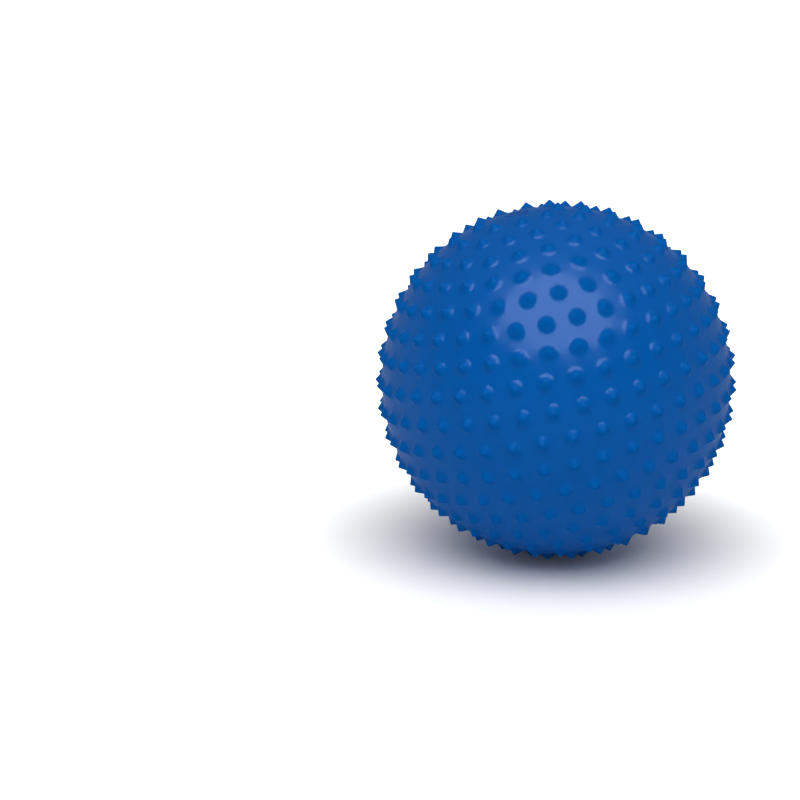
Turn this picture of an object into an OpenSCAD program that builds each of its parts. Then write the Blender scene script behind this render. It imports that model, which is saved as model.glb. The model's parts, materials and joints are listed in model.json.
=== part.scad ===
// Inflatable knobby sensory ball: one hollow moulded skin, a valve seat bonded inside it
// and a push-in stopper. The origin is the ball's centre and Z points up.

/* [Ball] */
// Diameter over the knob tips
ball_d = 280; // [230:1:320]
// Thickness of the skin between the knobs
skin_t = 1.6; // [1.4:0.1:4]
// Lean of the ring axis from upright towards -X, in degrees
axis_lean = 13.7; // [0:0.1:30]

/* [Knobs] */
// Height of a knob above the valleys
knob_h = 5.2; // [3:0.1:7]
// Width of a knob's steep cone at its foot
knob_d = 9; // [7:0.5:14]
// Height of that foot, from which a shallow flare runs out to the valleys
flare_h = 0.9; // [0.2:0.1:1.6]
// Distance from one ring of knobs to the next, along the surface
ring_pitch = 21.2; // [19:0.1:26]
// Distance from knob to knob along a ring
knob_pitch = 22; // [19:0.1:26]
// Angle at which the lowest ring starts
ring_start = 251; // [0:1:360]
// How much further round each ring starts than the ring below it
ring_turn = 119; // [0:1:180]

/* [Valve pad] */
// Width of the smooth pad round the valve
pad_d = 36; // [32:1:40]
// Width of the thick boss on the inside of the skin
boss_d = 32; // [28:1:40]
// Height of the boss at its rim
boss_t = 1.5; // [1:0.1:4]

/* [Valve seat] */
// Width of the neck that passes through the skin
neck_d = 14; // [11:0.5:15]
// Width of the flange bonded under the boss
flange_d = 26; // [20:0.5:27]
// Thickness of the flange
flange_t = 2; // [1.5:0.1:4]
// Width of the sleeve inside the ball
sleeve_d = 12; // [10.5:0.5:15]
// Length of the sleeve below the flange
sleeve_l = 13; // [9:0.5:25]
// Glue line between the seat and the skin
bond_gap = 0.1; // [0.05:0.05:0.3]

/* [Stopper] */
// Width of the stopper's head
head_d = 17; // [15.5:0.5:17.5]
// Thickness of the head
head_t = 2; // [1.5:0.1:3]
// Bevel round the head's top edge
head_bevel = 0.6; // [0.2:0.1:1]
// Width of the shallow dish in the head
dish_d = 9; // [5:0.5:11]
// Depth of the dish
dish_depth = 0.4; // [0.2:0.1:0.8]
// Width of the stem under the head
stem_d = 7.4; // [5.5:0.1:8.5]
// Width of the stem at its tip
stem_tip_d = 6; // [4:0.1:6.4]
// Length of the stem
stem_l = 15; // [8:0.5:17]
// Bevel round the stem's tip
tip_bevel = 0.8; // [0.3:0.1:1]
// Gap round the stem in its tapered bore
fit_gap = 0.08; // [0.05:0.01:0.2]
// Gap under the head
head_gap = 0.1; // [0.05:0.05:0.3]
// Gap round the head in its recess
recess_gap = 0.5; // [0.3:0.1:2]
// How far the middle of the head lies below the ball's surface
head_sink = 0.2; // [0:0.1:0.5]

/* [Hidden] */
// Fine steps, so that the drawn hollow leaves the thin skin its true volume
$fn = 240;

// Ball
base_r = ball_d / 2 - knob_h;
hollow_r = base_r - skin_t;
cut_over = 1;

// Rings of knobs, counted from the lower pole; the ring nearest the valve makes way for its pad
ring_count = 2 * round(PI * base_r / (2 * ring_pitch));
last_ring = ring_count - 2;
min_knobs = 3;
function ring_lat(i) = -90 + (i + 0.5) * 180 / ring_count;
function ring_knobs(i) = max(min_knobs, round(2 * PI * base_r * cos(ring_lat(i)) / knob_pitch));

// The pad's edge is one more ring of corners that carry no knobs
pad_ring = last_ring + 1;
pad_lat = 90 - asin(pad_d / 2 / base_r);
pad_corners = 12;
function lat(i) = i == pad_ring ? pad_lat : ring_lat(i);
function corners(i) = i == pad_ring ? pad_corners : ring_knobs(i);
function rise(i) = i == pad_ring ? 0 : 1;
function lon(i, k) = ring_start + i * ring_turn + k * 360 / corners(i);
function direction(i, k) = [cos(lat(i)) * cos(lon(i, k)), cos(lat(i)) * sin(lon(i, k)), sin(lat(i))];

// A corner is its direction from the ball's centre and 1 for a knob or 0 for a bare point
function wrapped(k, n) = k - n * floor(k / n);
function corner(i, k) = [direction(i, wrapped(k, corners(i))), rise(i)];
pole = [[0, 0, 1], 0];

// Each edge along a ring joins the nearest corner of the neighbouring ring
function nearest(angle, i) = round((angle - lon(i, 0)) * corners(i) / 360);
function half_step(i) = 180 / corners(i);
function strip(i) = concat(
    [for (k = [0 : corners(i) - 1])
        [corner(i, k), corner(i + 1, nearest(lon(i, k) + half_step(i), i + 1)), corner(i, k + 1)]],
    [for (k = [0 : corners(i + 1) - 1])
        [corner(i + 1, k), corner(i + 1, k + 1),
         corner(i, nearest(lon(i + 1, k) + half_step(i + 1), i))]]
);
lower_cap = [for (k = [1 : corners(0) - 2]) [corner(0, 0), corner(0, k), corner(0, k + 1)]];
upper_cap = [for (k = [0 : pad_corners - 1]) [corner(pad_ring, k), pole, corner(pad_ring, k + 1)]];
facets = concat(lower_cap, [for (i = [0 : last_ring]) each strip(i)], upper_cap);

// Points of one facet: its three tips, two foot points on each edge and a valley point in the middle
function unit(v) = v / norm(v);
function tip(a) = a[0] * (base_r + a[1] * knob_h);
foot_deg = asin(knob_d / 2 / base_r);
bare_share = 1 / 3;
function apart(a, b) = acos(a[0] * b[0]);
function foot_angle(a, b) = a[1] == 1 ? foot_deg : apart(a, b) * bare_share;
function towards(a, b, angle) =
    unit(a[0] * sin(apart(a, b) - angle) + b[0] * sin(angle)) * (base_r + a[1] * flare_h);
function foot(a, b) = towards(a, b, foot_angle(a, b));
function valley(t) = unit(t[0][0] + t[1][0] + t[2][0]) * base_r;
function facet_points(t) = [
    tip(t[0]), tip(t[1]), tip(t[2]),
    foot(t[0], t[1]), foot(t[1], t[0]),
    foot(t[1], t[2]), foot(t[2], t[1]),
    foot(t[2], t[0]), foot(t[0], t[2]),
    valley(t)
];
point_count = 10;
facet_faces = [
    [0, 3, 8], [1, 5, 4], [2, 7, 6],
    [3, 4, 9], [4, 5, 9], [5, 6, 9], [6, 7, 9], [7, 8, 9], [8, 3, 9]
];

// Valve, along the ring axis at the upper pole
recess_d = head_d + 2 * recess_gap;
recess_depth = head_t + head_gap + head_sink;
recess_z = base_r - recess_depth;
boss_z = sqrt(hollow_r * hollow_r - boss_d * boss_d / 4) - boss_t;
flange_z = boss_z - bond_gap;
sleeve_z = flange_z - flange_t - sleeve_l;
head_z = recess_z + head_gap;
stem_slope = (stem_d - stem_tip_d) / 2 / stem_l;
bore_r = stem_d / 2 + fit_gap + stem_slope * (head_z - recess_z);
bore_end_r = bore_r - stem_slope * (recess_z - sleeve_z);
ball_blue = "#0a5cab";
stopper_blue = "#0b4f96";

module leaned() rotate([0, -axis_lean, 0]) children();

module knobbed_solid()
    polyhedron(
        points = [for (t = facets) each facet_points(t)],
        faces = [for (n = [0 : len(facets) - 1]) for (f = facet_faces)
            [for (p = f) p + n * point_count]]
    );

module hollow()
    difference() {
        sphere(hollow_r);
        translate([0, 0, boss_z]) cylinder(d = boss_d, h = hollow_r);
    }

// One moulded skin: knobs outside, smooth inside, with a boss where the valve goes through
module ball_skin()
    color(ball_blue) leaned() difference() {
        knobbed_solid();
        hollow();
        translate([0, 0, recess_z]) cylinder(d = recess_d, h = knob_h);
        translate([0, 0, boss_z - cut_over]) cylinder(d = neck_d + 2 * bond_gap, h = knob_h + boss_t + skin_t);
    }

// Flanged sleeve bonded under the boss, with a tapered bore for the stopper
module valve_seat()
    color(ball_blue) leaned() rotate_extrude() polygon([
        [bore_end_r, sleeve_z],
        [sleeve_d / 2, sleeve_z],
        [sleeve_d / 2, flange_z - flange_t],
        [flange_d / 2, flange_z - flange_t],
        [flange_d / 2, flange_z],
        [neck_d / 2, flange_z],
        [neck_d / 2, recess_z],
        [bore_r, recess_z]
    ]);

// Push-in stopper: a dished head in the recess and a tapered stem in the seat's bore
module valve_stopper()
    color(stopper_blue) leaned() rotate_extrude() polygon([
        [0, head_z - stem_l],
        [stem_tip_d / 2 - tip_bevel, head_z - stem_l],
        [stem_tip_d / 2 + stem_slope * tip_bevel, head_z - stem_l + tip_bevel],
        [stem_d / 2, head_z],
        [head_d / 2, head_z],
        [head_d / 2, head_z + head_t - head_bevel],
        [head_d / 2 - head_bevel, head_z + head_t],
        [dish_d / 2, head_z + head_t],
        [dish_d / 2 - dish_depth, head_z + head_t - dish_depth],
        [0, head_z + head_t - dish_depth]
    ]);

ball_skin();
valve_seat();
valve_stopper();
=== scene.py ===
# %% [markdown]
# # A knobby sensory ball
# The object is an inflatable ball of soft PVC, 28 cm across, covered in pointed knobs that stand
# in rings round one axis. An air valve with a push-in stopper sits at the upper end of that axis.
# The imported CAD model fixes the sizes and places, and the cells below repeat them as named values.
# This lesson dresses its three pieces: the skin, the valve seat and the stopper.

# %% Load the frame
import json
import math

import bmesh
import bpy
import numpy as np
from mathutils import Matrix, Vector


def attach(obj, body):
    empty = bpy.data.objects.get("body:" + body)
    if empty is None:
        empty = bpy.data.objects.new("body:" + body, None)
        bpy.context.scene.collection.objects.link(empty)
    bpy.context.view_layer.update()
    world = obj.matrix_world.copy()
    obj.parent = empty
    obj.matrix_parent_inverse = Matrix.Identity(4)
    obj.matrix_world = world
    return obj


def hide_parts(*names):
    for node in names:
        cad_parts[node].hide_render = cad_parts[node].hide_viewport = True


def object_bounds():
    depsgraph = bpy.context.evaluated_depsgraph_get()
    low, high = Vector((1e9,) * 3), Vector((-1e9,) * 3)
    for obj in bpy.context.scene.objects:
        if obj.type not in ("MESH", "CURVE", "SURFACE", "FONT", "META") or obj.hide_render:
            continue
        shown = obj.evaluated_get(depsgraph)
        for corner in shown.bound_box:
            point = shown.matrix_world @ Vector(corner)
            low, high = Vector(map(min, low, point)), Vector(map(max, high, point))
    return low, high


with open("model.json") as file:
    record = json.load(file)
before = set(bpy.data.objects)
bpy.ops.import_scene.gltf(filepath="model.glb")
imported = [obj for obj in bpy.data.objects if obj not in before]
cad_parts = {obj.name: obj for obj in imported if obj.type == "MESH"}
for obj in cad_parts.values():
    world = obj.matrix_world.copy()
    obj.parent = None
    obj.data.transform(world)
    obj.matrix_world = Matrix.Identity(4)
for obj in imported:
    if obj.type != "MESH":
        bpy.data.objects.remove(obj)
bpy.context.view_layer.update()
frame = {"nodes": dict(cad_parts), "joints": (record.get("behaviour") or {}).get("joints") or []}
print("CAD pieces:", ", ".join(sorted(frame["nodes"])))

# %% [markdown]
# ## The ring axis
# The knobs' rings lean with the ball as it lies. The stopper pulls out along the same axis, so its
# joint tells which way the axis points. Every shape below is worked out upright, with the axis
# along Z, and its points are then leaned. Turning the finished objects would do the same, but an
# object that sits unturned at the origin keeps its patterns in place when it is exported.

# %% Ring axis
MM = 0.001
ring_axis = np.array(frame["joints"][0]["axis"])


def leaned(points):
    """Turns upright points about Y until their Z axis is the ring axis."""
    across = (ring_axis[2], 0, -ring_axis[0])
    return points @ np.array([across, (0, 1, 0), ring_axis])


print("Ring axis leans", round(math.degrees(math.acos(ring_axis[2])), 1), "degrees")

# %% [markdown]
# ## Where the knobs stand
# Twenty rings lie 9 degrees apart from pole to pole, and each holds as many knobs as fit about
# 22 mm apart. The ring next to the valve is left out for a smooth pad. A scatter of points would
# be quicker, but it would lose the rows that the eye follows round the ball, so each ring has its
# own latitude, count and starting angle. Three more rings carry no knobs: the pad's edge, and the
# two edges of the mould's parting line at the equator.

# %% Points on the ball
BALL_R = 140 * MM
KNOB_H = 5.2 * MM
BASE_R = BALL_R - KNOB_H


def on_ball(latitude, longitude):
    """Unit vectors: cosine of latitude times the unit circle at the longitude, and its sine as height."""
    latitude, longitude = np.radians(latitude), np.radians(longitude)
    flat = np.cos(latitude)
    height = np.sin(latitude) + 0 * longitude
    return np.stack([flat * np.cos(longitude), flat * np.sin(longitude), height], axis=-1)


print("Valleys lie", round(BASE_R / MM, 1), "mm from the centre")

# %% Rings of corners
RING_COUNT = 20
KNOB_PITCH = 22 * MM
MIN_KNOBS = 3
# Degrees: where the lowest ring starts, and how much further round each next one does
RING_START = 251
RING_TURN = 119
PAD_R = 18 * MM
PAD_CORNERS = 24
SEAM_HALF_W = 0.7 * MM
SEAM_CORNERS = 76

corner_dirs = []
corner_is_knob = []


def add_ring(latitude, count, start, is_knob):
    """Adds evenly spaced corners on one latitude and returns the ring's first index, count and start."""
    first = len(corner_dirs)
    corner_dirs.extend(on_ball(latitude, start + np.arange(count) * 360 / count))
    corner_is_knob.extend([is_knob] * count)
    return first, count, start


def add_knob_ring(i):
    """Ring i counted from the lower pole, each turned RING_TURN further than the one below."""
    latitude = -90 + (i + 0.5) * 180 / RING_COUNT
    length = 2 * math.pi * BASE_R * math.cos(math.radians(latitude))
    count = max(MIN_KNOBS, round(length / KNOB_PITCH))
    return add_ring(latitude, count, RING_START + i * RING_TURN, True)


seam_lat = math.degrees(SEAM_HALF_W / BASE_R)
pad_lat = 90 - math.degrees(math.asin(PAD_R / BASE_R))
lower_rings = [add_knob_ring(i) for i in range(RING_COUNT // 2)]
lower_rings.append(add_ring(-seam_lat, SEAM_CORNERS, RING_START, False))
upper_rings = [add_ring(seam_lat, SEAM_CORNERS, RING_START, False)]
upper_rings += [add_knob_ring(i) for i in range(RING_COUNT // 2, RING_COUNT - 1)]
upper_rings.append(add_ring(pad_lat, PAD_CORNERS, RING_START, False))
corner_dirs = np.array(corner_dirs)
corner_is_knob = np.array(corner_is_knob)
print("Knobs:", int(corner_is_knob.sum()))

# %% [markdown]
# ## Triangles between the knobs
# Neighbouring rings hold different numbers of knobs, so no grid fits the whole ball. Zipping two
# rings together does: each edge along one ring makes a triangle with the nearest corner of the
# other ring. The lowest ring has just three knobs, and one triangle closes it.

# %% Zip the rings


def nearest(angle, ring):
    """Index of the ring's corner closest to the angle: the angle past its start, counted in steps."""
    first, count, start = ring
    return first + np.rint((angle - start) * count / 360).astype(int) % count


def edges(ring):
    """Each edge's two corners, and the angle half-way along it."""
    first, count, start = ring
    k = np.arange(count)
    return first + k, first + (k + 1) % count, start + (k + 0.5) * 360 / count


def zipped(low, high):
    """Triangles between two rings, anticlockwise seen from outside."""
    left, right, middle = edges(low)
    standing = np.stack([left, right, nearest(middle, high)], axis=1)
    left, right, middle = edges(high)
    hanging = np.stack([right, left, nearest(middle, low)], axis=1)
    return np.concatenate([standing, hanging])


strips = [zipped(*pair) for rings in (lower_rings, upper_rings) for pair in zip(rings, rings[1:])]
lowest_facet = np.array([[0, 2, 1]])
facets = np.concatenate([lowest_facet, *strips])
print("Facets between corners:", len(facets))

# %% [markdown]
# ## The knob's profile
# Each knob is a soft cone that grows out of the skin: a hollow skirt turns up into a straight side,
# and the tip is barely blunted. In a drawing that is two arcs and a straight line, each starting at
# the slope where the last one ends. A plain cone would be simpler, but it would meet the skin at a
# crease, where the real knob shows a soft crescent of light low down on its skirt.

# %% Knob profile
TIP_ARC = 0.9 * MM
TIP_POINTS = 3
SIDE = 3.98 * MM
SIDE_SLOPE = 41
SKIRT_ARC = 6.2 * MM
SKIRT_POINTS = 7


def arc_run(radius, slopes):
    """Run and rise along an arc: the radius times the change in the slope's sine, and in its cosine."""
    slopes = np.radians(slopes)
    run = radius * np.abs(np.sin(slopes) - np.sin(slopes[0]))
    rise = radius * np.abs(np.cos(slopes) - np.cos(slopes[0]))
    return np.stack([run, rise], axis=1)


tip = arc_run(TIP_ARC, np.linspace(0, SIDE_SLOPE, TIP_POINTS))
side = tip[-1] + SIDE * np.array([(1, math.tan(math.radians(SIDE_SLOPE)))])
skirt = arc_run(SKIRT_ARC, np.linspace(SIDE_SLOPE, 0, SKIRT_POINTS))[1:] + side[-1]
knob_out, knob_drop = np.concatenate([tip, side, skirt]).T
knob_rise = KNOB_H * (1 - knob_drop / knob_drop[-1])
print("Knob foot", round(2 * knob_out[-1] / MM, 1), "mm wide, drop", round(knob_drop[-1] / MM, 2), "mm")

# %% [markdown]
# ## From triangles to skin
# Every triangle is cut into three kites, one at each corner, that meet at its middle. A kite is a
# grid of two parameters: which ray leaves the corner, and how far along it a point lies. Rays keep
# the knob round, and steps at the profile's own distances put points only where it bends. A fine
# grid over the whole ball would need ten times the faces to draw the same tips. Kites at corners
# without a knob are kept small, so that a knob's skirt has room beside them.

# %% Great circles


def unit(vectors):
    """Vectors divided by their lengths."""
    return vectors / np.linalg.norm(vectors, axis=-1, keepdims=True)


def along(start, end, distance):
    """Points on great circles: the distance's cosine times the start, plus its sine times the tangent."""
    tangent = unit(end - (start * end).sum(-1, keepdims=True) * start)
    return np.cos(distance)[..., None] * start + np.sin(distance)[..., None] * tangent


def apart(a, b):
    """Angle between unit vectors."""
    return np.arccos(np.clip((a * b).sum(-1), -1, 1))


print("Lowest knobs", round(apart(corner_dirs[0], corner_dirs[1]) * BASE_R / MM, 1), "mm apart")

# %% Kites
# A bare corner's kite takes this share of an edge to a knob
BARE_SHARE = 0.1
# How much more than a knob a bare corner pulls a triangle's middle towards it
BARE_WEIGHT = 6
# Steps along each ray of a bare corner's kite
BARE_STEPS = 2


def meeting_point(a, b):
    """Where two corners' kites meet on their edge: half-way, but close to a corner without a knob."""
    share = 0.5 + (corner_is_knob[a].astype(float) - corner_is_knob[b]) * (0.5 - BARE_SHARE)
    return along(corner_dirs[a], corner_dirs[b], share * apart(corner_dirs[a], corner_dirs[b]))


def grid_faces(rows, columns, count=1):
    """Quads of count grids whose points are numbered row by row."""
    first = np.arange(rows - 1)[:, None] * columns + np.arange(columns - 1)
    quads = np.stack([first, first + 1, first + columns + 1, first + columns], axis=-1)
    quads = quads.reshape(-1, 4)
    return (np.arange(count)[:, None, None] * rows * columns + quads).reshape(-1, 4)


def kites(corner, second, third, knob):
    """Grids of points for all kites of one kind: rays to the kite's far sides, in steps along each ray."""
    weight = np.where(corner_is_knob, 1, BARE_WEIGHT)[:, None] * corner_dirs
    middle = unit(weight[corner] + weight[second] + weight[third])
    ends = np.stack([meeting_point(corner, second), middle, meeting_point(corner, third)], axis=1)
    starts = np.repeat(corner_dirs[corner][:, None], ends.shape[1], axis=1)
    reach = apart(starts, ends)[..., None]
    if knob:
        steps = np.broadcast_to(knob_out / BASE_R, reach.shape[:2] + knob_out.shape)
        distance = np.concatenate([steps, reach], axis=2)
        radius = BASE_R + np.append(knob_rise, 0)
    else:
        distance = reach * np.linspace(0, 1, BARE_STEPS + 1)
        radius = np.full(BARE_STEPS + 1, BASE_R)
    points = along(starts[:, :, None], ends[:, :, None], distance) * radius[:, None]
    return points.reshape(-1, 3), grid_faces(*distance.shape[1:], count=len(corner))


turns = np.concatenate([np.roll(facets, -i, axis=1) for i in range(3)])
at_knob = corner_is_knob[turns[:, 0]]
knob_patch = kites(*turns[at_knob].T, knob=True)
valley_patch = kites(*turns[~at_knob].T, knob=False)
print("Kites at knobs:", int(at_knob.sum()), "and at bare corners:", int((~at_knob).sum()))

# %% [markdown]
# ## The parting line
# A hollow ball is moulded in two halves, and where they meet the plastic leaves a low bead round
# the equator. It could be a line in the colour, but a real bead also catches the light, so it is a
# strip of the surface.

# %% Parting line
BEAD_H = 0.1 * MM
BEAD_ROWS = 7

across = np.linspace(-1, 1, BEAD_ROWS)
seam_steps = SEAM_CORNERS * BARE_STEPS * 2
seam_lon = RING_START + np.arange(seam_steps + 1) * 360 / seam_steps
bead_r = BASE_R + BEAD_H * np.cos(across * math.pi / 2) ** 2
bead_points = on_ball(across[:, None] * seam_lat, seam_lon[None, :]) * bead_r[:, None, None]
bead_patch = bead_points.reshape(-1, 3), grid_faces(BEAD_ROWS, len(seam_lon))
print("Bead", BEAD_H / MM, "mm high, in", seam_steps, "steps round")

# %% [markdown]
# ## The valve pad and the inside
# Round the valve the skin is turned, not knobbed: a smooth pad, a shallow recess for the stopper's
# head, the hole for the seat, a thick boss behind it, and then the smooth inside of the ball. Each
# could be cut with a solid of its own, but one profile carried round the axis draws all of them
# and closes the shell, so the skin has a true thickness.

# %% Profiles


def rounded(corners, radii, steps=4):
    """An outline with its inner corners rounded: each becomes a curve bent towards the corner.
    A point is (1-t)^2 times the first end, 2t(1-t) times the corner and t^2 times the second end."""
    corners = np.array(corners, float)
    radii = np.array(radii)[:, None]
    bends = corners[1:-1]
    before = bends + unit(corners[:-2] - bends) * radii
    after = bends + unit(corners[2:] - bends) * radii
    t = np.linspace(0, 1, steps)[None, :, None]
    curve = (1 - t) ** 2 * before[:, None] + 2 * t * (1 - t) * bends[:, None] + t**2 * after[:, None]
    return np.concatenate([corners[:1], curve.reshape(-1, 2), corners[-1:]])


def turned(profile, angles):
    """A profile of radius and height carried round the axis: the radius times each angle's unit circle."""
    circle = np.stack([np.cos(angles), np.sin(angles)], axis=-1)
    flat = profile[:, None, :1] * circle
    height = np.broadcast_to(profile[:, None, 1:], flat.shape[:2] + (1,))
    return np.concatenate([flat, height], axis=-1)


print("Points on one rounded corner:", len(rounded([(0, 0), (1, 0), (1, 1)], [0.2])) - 2)

# %% Valve sizes
SKIN_T = 1.6 * MM
RECESS_R = 9 * MM
RECESS_DEPTH = 2.3 * MM
HOLE_R = 7.1 * MM
BOSS_R = 16 * MM
BOSS_T = 1.5 * MM

hollow_r = BASE_R - SKIN_T
recess_z = BASE_R - RECESS_DEPTH
boss_top_z = math.sqrt(hollow_r**2 - BOSS_R**2)
boss_z = boss_top_z - BOSS_T
print("Skin at the valve", round((recess_z - boss_z) / MM, 2), "mm thick")

# %% Pad rim
pad_corner, pad_next, _ = edges(upper_rings[-1])
pad_side = apart(corner_dirs[pad_corner[0]], corner_dirs[pad_next[0]])
pad_edge = np.linspace(0, 1, BARE_STEPS * 2 + 1)[:-1] * pad_side
pad_rim = along(corner_dirs[pad_corner][:, None], corner_dirs[pad_next][:, None], pad_edge[None, :])
pad_rim = pad_rim.reshape(-1, 3)
pad_rim = np.concatenate([pad_rim, pad_rim[:1]])
rim_angles = np.arctan2(pad_rim[:, 1], pad_rim[:, 0])
print("Pad rim in", len(pad_rim) - 1, "steps")

# %% Valve pad and inside
LIP = 0.4 * MM
PAD_START_R = 15.3 * MM
PAD_ROWS = 4
INSIDE_ROWS = 40

pad_r = np.linspace(PAD_START_R, RECESS_R + 2 * LIP, PAD_ROWS)
pad_z = np.sqrt(BASE_R**2 - pad_r**2)
valve_profile = rounded(
    [
        (pad_r[-1], pad_z[-1]),
        (RECESS_R, math.sqrt(BASE_R**2 - RECESS_R**2)),
        (RECESS_R, recess_z),
        (HOLE_R, recess_z),
        (HOLE_R, boss_z),
        (BOSS_R, boss_z),
        (BOSS_R, boss_top_z),
    ],
    [LIP, LIP / 2, LIP / 2, LIP / 2, LIP],
)
inside_angle = np.linspace(math.asin(BOSS_R / hollow_r), math.pi, INSIDE_ROWS)[1:]
inside_profile = hollow_r * np.stack([np.sin(inside_angle), np.cos(inside_angle)], axis=1)
smooth_pad = np.stack([pad_r, pad_z], axis=1)[:-1]
pad_profile = np.concatenate([smooth_pad, valve_profile, inside_profile])
pad_points = np.concatenate([pad_rim[None] * BASE_R, turned(pad_profile, rim_angles)])
pad_patch = pad_points.reshape(-1, 3), grid_faces(*pad_points.shape[:2])
print("Valve profile:", len(pad_profile), "points")

# %% [markdown]
# ## Putting a surface into a mesh
# Each patch above is an array of points and an array of faces. They share their border points, so
# welding points that fall together closes the shell. Joining separate objects would leave the
# borders open. A printed count of open edges shows at once if a border failed to meet.

# %% Build a piece
WELD = 0.01 * MM


def piece(name, *patches):
    """One smooth, welded mesh object of the patches, leaned into place."""
    counts = np.cumsum([0] + [len(points) for points, _ in patches])
    points = leaned(np.concatenate([points for points, _ in patches]))
    faces = np.concatenate([faces + start for (_, faces), start in zip(patches, counts)])
    mesh = bpy.data.meshes.new(name)
    mesh.from_pydata(points.tolist(), [], faces.tolist())
    weld = bmesh.new()
    weld.from_mesh(mesh)
    bmesh.ops.remove_doubles(weld, verts=weld.verts, dist=WELD)
    open_edges = sum(not edge.is_manifold for edge in weld.edges)
    volume = weld.calc_volume(signed=True)
    weld.to_mesh(mesh)
    weld.free()
    mesh.polygons.foreach_set("use_smooth", np.ones(len(mesh.polygons), bool))
    mesh.update()
    obj = bpy.data.objects.new(name, mesh)
    bpy.context.scene.collection.objects.link(obj)
    triangles = sum(len(polygon.vertices) - 2 for polygon in mesh.polygons)
    print(name, triangles, "triangles,", open_edges, "open edges,", round(volume * 1e6, 2), "cm3")
    return obj


ball_skin = piece("knobbed_skin", knob_patch, valley_patch, bead_patch, pad_patch)
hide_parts("ball_skin")
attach(ball_skin, "ball")

# %% [markdown]
# ## The valve seat
# The seat is a flanged sleeve of the same soft PVC, glued under the boss. Its bore tapers, so the
# stopper jams in it. It could be built up from tubes, but a lathe shape is simpler: one closed
# profile carried round the axis, with small rounds where the mould's edges were.

# %% Valve seat
TURN_STEPS = 64
FULL_TURN = np.linspace(0, 2 * math.pi, TURN_STEPS + 1)
NECK_R = 7 * MM
FLANGE_R = 13 * MM
FLANGE_T = 2 * MM
SLEEVE_R = 6 * MM
SLEEVE_L = 13 * MM
BOND_GAP = 0.1 * MM
STEM_R = 3.7 * MM
STEM_TIP_R = 3 * MM
STEM_L = 15 * MM
FIT_GAP = 0.08 * MM
EDGE = 0.35 * MM

flange_z = boss_z - BOND_GAP
sleeve_z = flange_z - FLANGE_T - SLEEVE_L
stem_slope = (STEM_R - STEM_TIP_R) / STEM_L
bore_r = STEM_R + FIT_GAP
bore_end_r = bore_r - stem_slope * (recess_z - sleeve_z)
bore_middle = ((bore_r + bore_end_r) / 2, (recess_z + sleeve_z) / 2)
seat_profile = rounded(
    [
        bore_middle,
        (bore_end_r, sleeve_z),
        (SLEEVE_R, sleeve_z),
        (SLEEVE_R, flange_z - FLANGE_T),
        (FLANGE_R, flange_z - FLANGE_T),
        (FLANGE_R, flange_z),
        (NECK_R, flange_z),
        (NECK_R, recess_z),
        (bore_r, recess_z),
        bore_middle,
    ],
    [EDGE] * 8,
)
seat_points = turned(seat_profile, FULL_TURN)
seat_faces = grid_faces(*seat_points.shape[:2])
valve_seat = piece("flanged_valve_seat", (seat_points.reshape(-1, 3), seat_faces))
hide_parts("valve_seat")
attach(valve_seat, "ball")

# %% [markdown]
# ## The stopper
# The stopper is moulded in a harder PVC: a flat head with a dished middle that a fingernail can
# lift at the rim, and a tapered stem. It is a lathe shape too. Its profile starts and ends on the
# axis, so turning it closes it at both poles.

# %% Stopper
HEAD_R = 8.5 * MM
HEAD_T = 2 * MM
HEAD_BEVEL = 0.6 * MM
HEAD_GAP = 0.1 * MM
DISH_R = 4.5 * MM
DISH_DEPTH = 0.4 * MM
TIP_BEVEL = 0.8 * MM

head_z = recess_z + HEAD_GAP
stem_end_z = head_z - STEM_L
stopper_profile = rounded(
    [
        (0, stem_end_z),
        (STEM_TIP_R, stem_end_z),
        (STEM_R, head_z),
        (HEAD_R, head_z),
        (HEAD_R, head_z + HEAD_T),
        (DISH_R, head_z + HEAD_T),
        (DISH_R - DISH_DEPTH, head_z + HEAD_T - DISH_DEPTH),
        (0, head_z + HEAD_T - DISH_DEPTH),
    ],
    [TIP_BEVEL, EDGE / 2, EDGE, HEAD_BEVEL, EDGE / 2, EDGE / 2],
)
stopper_points = turned(stopper_profile, FULL_TURN)
stopper_faces = grid_faces(*stopper_points.shape[:2])
stopper = piece("valve_plug", (stopper_points.reshape(-1, 3), stopper_faces))
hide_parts("valve_stopper")
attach(stopper, "stopper")

# %% [markdown]
# ## Moulded PVC
# The skin is plasticised PVC, rotationally moulded: dyed right through, satin from the polished
# mould, a little uneven because the paste ran before it set. The seat and the stopper are moulded
# in PVC of a slightly deeper blue. A picture texture could hold all of that, but noise on the
# object's own coordinates needs no unwrapping. Two helpers come first: colours are written as hex
# values, as a paint program shows them, and one function adds any node.

# %% Material helpers
BALL_BLUE = "#00519c"


def linear(hex_colour):
    """An sRGB hex colour as linear RGBA: below a small value divide by 12.92, else the 2.4 power curve."""
    values = np.array([int(hex_colour[i : i + 2], 16) for i in (1, 3, 5)]) / 255
    curve = np.where(values <= 0.04045, values / 12.92, ((values + 0.055) / 1.055) ** 2.4)
    return (*curve.tolist(), 1)


def add_node(tree, kind, settings=None, inputs=None):
    """Adds a node, sets its properties, and gives each input a number or a link from another node."""
    node = tree.nodes.new(kind)
    for key, value in (settings or {}).items():
        setattr(node, key, value)
    for key, value in (inputs or {}).items():
        if isinstance(value, bpy.types.NodeSocket):
            tree.links.new(value, node.inputs[key])
        else:
            node.inputs[key].default_value = value
    return node


def new_material(name):
    """An empty node material and its output node."""
    material = bpy.data.materials.new(name)
    material.use_nodes = True
    material.node_tree.nodes.clear()
    return material, add_node(material.node_tree, "ShaderNodeOutputMaterial")


print("Ball blue in linear light:", [round(value, 3) for value in linear(BALL_BLUE)])

# %% [markdown]
# ## Dye and wear
# Dye in running paste settles in broad faint clouds, so the colour drifts a little between two
# shades. Hands rub the knobs: from a little above the valleys they are a touch paler and almost
# without gloss. The distance from the ball's centre tells how far up a knob a point lies, which
# needs no painted mask.

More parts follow.
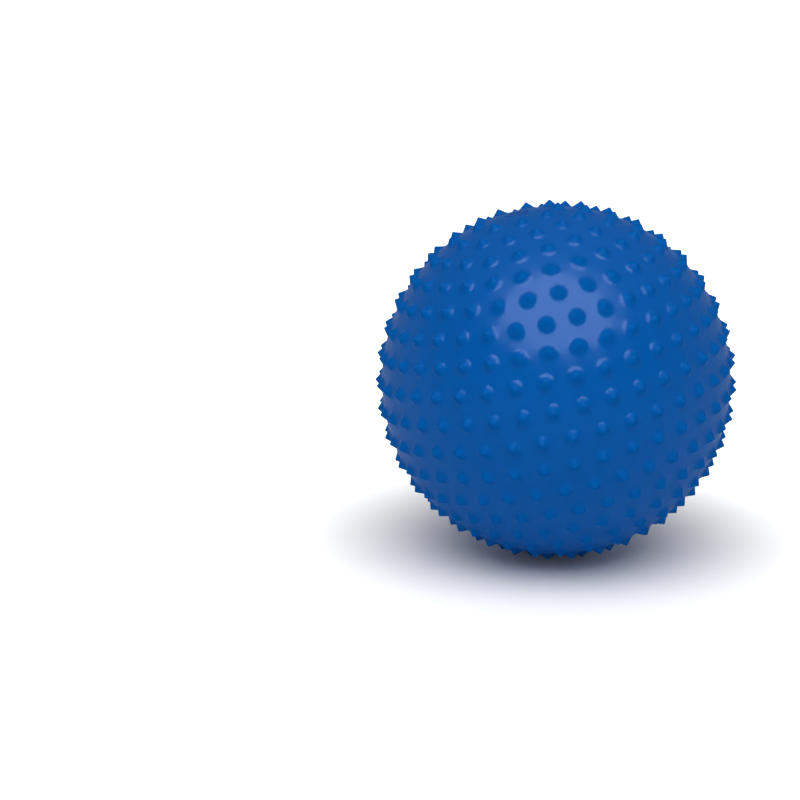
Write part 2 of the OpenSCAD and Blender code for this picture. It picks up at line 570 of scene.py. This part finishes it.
# %% Dyed colour
CLOUD = 70 * MM
CLOUD_DETAIL = 3


def dyed(tree, place, shade, deeper):
    """The dye's shade, mixed towards a deeper one by broad clouds of noise."""
    cloud = add_node(
        tree,
        "ShaderNodeTexNoise",
        {},
        {"Vector": place, "Scale": 1 / CLOUD, "Detail": CLOUD_DETAIL},
    )
    mixed = add_node(
        tree,
        "ShaderNodeMix",
        {"data_type": "RGBA"},
        {"Factor": cloud.outputs["Fac"], "A": linear(shade), "B": linear(deeper)},
    )
    return mixed.outputs["Result"]


print("Clouds", round(CLOUD / MM), "mm wide")

# %% Rubbed knobs
RUBBED_FROM = 0.12 * KNOB_H
RUBBED_TO = 0.28 * KNOB_H
SATIN_SPECULAR = 0.05
RUBBED_SPECULAR = 0.004


def rubbed_knobs(tree, place, colour, rubbed):
    """Colour and specular level that change from the valleys' to the rubbed knobs' over a short rise."""
    radius = add_node(tree, "ShaderNodeVectorMath", {"operation": "LENGTH"}, {0: place})
    worn = add_node(
        tree,
        "ShaderNodeMapRange",
        {},
        {
            "Value": radius.outputs["Value"],
            "From Min": BASE_R + RUBBED_FROM,
            "From Max": BASE_R + RUBBED_TO,
        },
    )
    handled = add_node(
        tree,
        "ShaderNodeMix",
        {"data_type": "RGBA"},
        {"Factor": worn.outputs["Result"], "A": colour, "B": linear(rubbed)},
    )
    matt = add_node(
        tree,
        "ShaderNodeMapRange",
        {},
        {"Value": worn.outputs["Result"], "To Min": SATIN_SPECULAR, "To Max": RUBBED_SPECULAR},
    )
    return handled.outputs["Result"], matt.outputs["Result"]


print("Knobs are rubbed from", round(RUBBED_FROM / MM, 2), "to", round(RUBBED_TO / MM, 2), "mm up")

# %% [markdown]
# ## Gloss and grain
# The polished mould leaves a satin gloss that wavers gently, and a thin dull bloom on the plastic
# blurs it where the surface turns away from the eye. The mould's fine grain is a bump, because it
# is far too shallow to model. Real grain is about 0.2 mm wide, too fine to show, so it is drawn
# at 1.6 mm.

# %% Gloss
WAVER = 14 * MM
WAVER_DETAIL = 2
WAVER_LOW = 0.3
WAVER_HIGH = 0.7
SATIN_MIN = 0.18
SATIN_MAX = 0.23
BLOOM_FROM = 0.1
BLOOM_TO = 0.6
BLOOM_ROUGHNESS = 0.55
EVEN_BLEND = 0.5


def satin_gloss(tree, place):
    """Roughness that wavers between two satin values and rises to the bloom's at the rim."""
    waver = add_node(
        tree,
        "ShaderNodeTexNoise",
        {},
        {"Vector": place, "Scale": 1 / WAVER, "Detail": WAVER_DETAIL},
    )
    gloss = add_node(
        tree,
        "ShaderNodeMapRange",
        {},
        {
            "Value": waver.outputs["Fac"],
            "From Min": WAVER_LOW,
            "From Max": WAVER_HIGH,
            "To Min": SATIN_MIN,
            "To Max": SATIN_MAX,
        },
    )
    facing = add_node(tree, "ShaderNodeLayerWeight", {}, {"Blend": EVEN_BLEND})
    bloom = add_node(
        tree,
        "ShaderNodeMapRange",
        {},
        {
            "Value": facing.outputs["Facing"],
            "From Min": BLOOM_FROM,
            "From Max": BLOOM_TO,
            "To Min": gloss.outputs["Result"],
            "To Max": BLOOM_ROUGHNESS,
        },
    )
    return bloom.outputs["Result"]


print("Roughness", SATIN_MIN, "to", SATIN_MAX, "and", BLOOM_ROUGHNESS, "at the rim")

# %% PVC of the three pieces
GRAIN = 1.6 * MM
GRAIN_DETAIL = 1
GRAIN_STRENGTH = 0.15
GRAIN_DEPTH = 0.05 * MM
PVC_IOR = 1.53
COOL_GLINT = "#d8d8ff"


def moulded_pvc(name, shade, deeper, rubbed=None):
    """Satin dyed PVC with a fine grain, and with rubbed knobs where a shade is given for them."""
    material, output = new_material(name)
    tree = material.node_tree
    place = add_node(tree, "ShaderNodeTexCoord").outputs["Object"]
    colour = dyed(tree, place, shade, deeper)
    specular = SATIN_SPECULAR
    if rubbed:
        colour, specular = rubbed_knobs(tree, place, colour, rubbed)
    grain = add_node(
        tree,
        "ShaderNodeTexNoise",
        {},
        {"Vector": place, "Scale": 1 / GRAIN, "Detail": GRAIN_DETAIL},
    )
    bump = add_node(
        tree,
        "ShaderNodeBump",
        {},
        {"Height": grain.outputs["Fac"], "Strength": GRAIN_STRENGTH, "Distance": GRAIN_DEPTH},
    )
    pvc = add_node(
        tree,
        "ShaderNodeBsdfPrincipled",
        {},
        {
            "Base Color": colour,
            "Roughness": satin_gloss(tree, place),
            "Normal": bump.outputs["Normal"],
            "IOR": PVC_IOR,
            "Specular IOR Level": specular,
            "Specular Tint": linear(COOL_GLINT),
        },
    )
    tree.links.new(pvc.outputs["BSDF"], output.inputs["Surface"])
    return material


skin_pvc = moulded_pvc("soft_pvc_blue", BALL_BLUE, "#004e97", rubbed="#03539d")
seat_pvc = moulded_pvc("soft_pvc_seat", "#004d96", "#00488e")
stopper_pvc = moulded_pvc("hard_pvc_stopper", "#004b94", "#00468c")
for obj, material in ((ball_skin, skin_pvc), (valve_seat, seat_pvc), (stopper, stopper_pvc)):
    obj.data.materials.append(material)
    print(obj.name, "is made of", material.name)

# %% [markdown]
# ## The floor
# A ball shows its surroundings, so the studio is kept simple: a white floor, and far round it a low
# white backdrop that keeps low views white. The softbox's light fades away from the ball, so there
# the floor gains white for the camera and for reflections alone. More light would also whiten the
# ground, but it would bleach the ball. This way the ground is white up to the short shadow.

# %% Floor
# Metres
FLOOR_R = 12
BACKDROP_H = 3

floor_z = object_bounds()[0].z
floor_profile = np.array([(0, floor_z), (FLOOR_R, floor_z), (FLOOR_R, floor_z + BACKDROP_H)])
floor_points = turned(floor_profile, FULL_TURN)
floor_faces = grid_faces(*floor_points.shape[:2])
floor_mesh = bpy.data.meshes.new("studio_floor")
floor_mesh.from_pydata(floor_points.reshape(-1, 3).tolist(), [], floor_faces.tolist())
floor = bpy.data.objects.new("studio_floor", floor_mesh)
bpy.context.scene.collection.objects.link(floor)
print("Floor at", round(floor_z / MM, 2), "mm")

# %% White board of the floor
BOARD_WHITE = "#fafafa"
# Metres from the ball's centre between which the floor gains white, and how much it gains
FADE_FROM = 0.16
FADE_TO = 0.36
FADE_LIFT = 0.65

white_board, board_output = new_material("white_studio_board")
tree = white_board.node_tree
place = add_node(tree, "ShaderNodeTexCoord").outputs["Object"]
away = add_node(tree, "ShaderNodeVectorMath", {"operation": "LENGTH"}, {0: place})
fade = add_node(
    tree,
    "ShaderNodeMapRange",
    {"interpolation_type": "SMOOTHSTEP"},
    {
        "Value": away.outputs["Value"],
        "From Min": FADE_FROM,
        "From Max": FADE_TO,
        "To Max": FADE_LIFT,
    },
)
rays = add_node(tree, "ShaderNodeLightPath")
camera_or_glossy = add_node(
    tree,
    "ShaderNodeMath",
    {"operation": "ADD"},
    {0: rays.outputs["Is Camera Ray"], 1: rays.outputs["Is Glossy Ray"]},
)
seen = add_node(
    tree,
    "ShaderNodeMath",
    {"operation": "ADD", "use_clamp": True},
    {0: camera_or_glossy.outputs["Value"], 1: rays.outputs["Is Transmission Ray"]},
)
lift = add_node(
    tree,
    "ShaderNodeMath",
    {"operation": "MULTIPLY"},
    {0: seen.outputs["Value"], 1: fade.outputs["Result"]},
)
board = add_node(tree, "ShaderNodeBsdfDiffuse", {}, {"Color": linear(BOARD_WHITE)})
glow = add_node(tree, "ShaderNodeEmission", {}, {"Strength": lift.outputs["Value"]})
both = add_node(
    tree,
    "ShaderNodeAddShader",
    {},
    {0: board.outputs["BSDF"], 1: glow.outputs["Emission"]},
)
tree.links.new(both.outputs["Shader"], board_output.inputs["Surface"])
floor_mesh.materials.append(white_board)
print("Floor gains white from", FADE_FROM, "to", FADE_TO, "m away")

# %% [markdown]
# ## The sky
# An even pale sky fills the shadows, as white walls do. It is dim to mirror-like rays, as in a room
# whose ceiling is dark, so the blue stays deep. A picture of a real room would put its windows and
# furniture into the gloss, where the real ball shows only one soft highlight.

# %% Sky
SKY = 0.4
GLOSSY_SKY = 0.05

world = bpy.data.worlds.new("pale_studio")
bpy.context.scene.world = world
world.use_nodes = True
tree = world.node_tree
rays = add_node(tree, "ShaderNodeLightPath")
strength = add_node(
    tree,
    "ShaderNodeMath",
    {"operation": "MULTIPLY_ADD"},
    {0: rays.outputs["Is Glossy Ray"], 1: GLOSSY_SKY - SKY, 2: SKY},
)
sky = tree.nodes["Background"]
sky.inputs["Color"].default_value = linear("#ffffff")
tree.links.new(strength.outputs["Value"], sky.inputs["Strength"])
print("Sky", SKY, "and", GLOSSY_SKY, "to mirror-like rays")

# %% [markdown]
# ## The softbox
# One large softbox in front and above gives most of the light and draws the wide soft highlight.
# A single lamp could do both, but then its highlight and its light could not be matched one by
# one. So two lamps share its place: one shows only in the gloss, and the other only lights.

# %% Lamps
SOFTBOX_WAY = (-0.03, -0.54, 0.84)


def soft_lamp(name, towards, far, width, height, radiance):
    """An elliptical lamp facing the ball, hidden from the camera: its power grows with its area, so a
    larger lamp is as bright to look at as a small one."""
    lamp = bpy.data.lights.new(name, "AREA")
    lamp.shape = "ELLIPSE"
    lamp.size = width
    lamp.size_y = height
    lamp.energy = radiance * math.pi * math.pi / 4 * width * height
    obj = bpy.data.objects.new(name, lamp)
    way = Vector(towards).normalized()
    obj.location = way * far
    obj.rotation_euler = way.to_track_quat("Z", "Y").to_euler()
    obj.visible_camera = False
    bpy.context.scene.collection.objects.link(obj)
    print(name, round(lamp.energy, 1), "W")
    return obj


highlight = soft_lamp("softbox_highlight", SOFTBOX_WAY, far=2.4, width=3.3, height=2.6, radiance=20)
highlight.visible_diffuse = False
key = soft_lamp("softbox_key", SOFTBOX_WAY, far=2.6, width=3.6, height=2.7, radiance=2.9)
key.visible_glossy = False

# %% [markdown]
# ## The camera
# The camera stands where the photograph was taken from: level, looking 14 degrees down, with a long
# lens. The ball sits right of the middle of the picture, so the camera is moved aside rather than
# turned, which keeps it level.

# %% Camera
# In pixels: the picture's width, the lens's focal length and the ball's centre
PHOTO_PX = 800
FOCAL_PX = 2100
BALL_PX = (555.1, 379.8)
# Metres from the lens to the ball's centre, straight ahead
BALL_DEPTH = 1.636
LOOK_DOWN = math.radians(14.15)
SENSOR_W = 36

right = Vector((1, 0, 0))
ahead = Vector((0, math.cos(LOOK_DOWN), -math.sin(LOOK_DOWN)))
up = right.cross(ahead)
per_px = BALL_DEPTH / FOCAL_PX
aside = (BALL_PX[0] - PHOTO_PX / 2) * per_px
above = (PHOTO_PX / 2 - BALL_PX[1]) * per_px
lens = bpy.data.cameras.new("camera")
lens.sensor_width = SENSOR_W
lens.lens = SENSOR_W * FOCAL_PX / PHOTO_PX
lens.clip_end = 2 * FLOOR_R
camera = bpy.data.objects.new("camera", lens)
camera.matrix_world = Matrix((right, up, -ahead)).transposed().to_4x4()
camera.location = -(aside * right + above * up + BALL_DEPTH * ahead)
bpy.context.scene.collection.objects.link(camera)
bpy.context.scene.camera = camera
bpy.context.scene.view_settings.view_transform = "Standard"
print("Camera at", [round(value, 3) for value in camera.location])
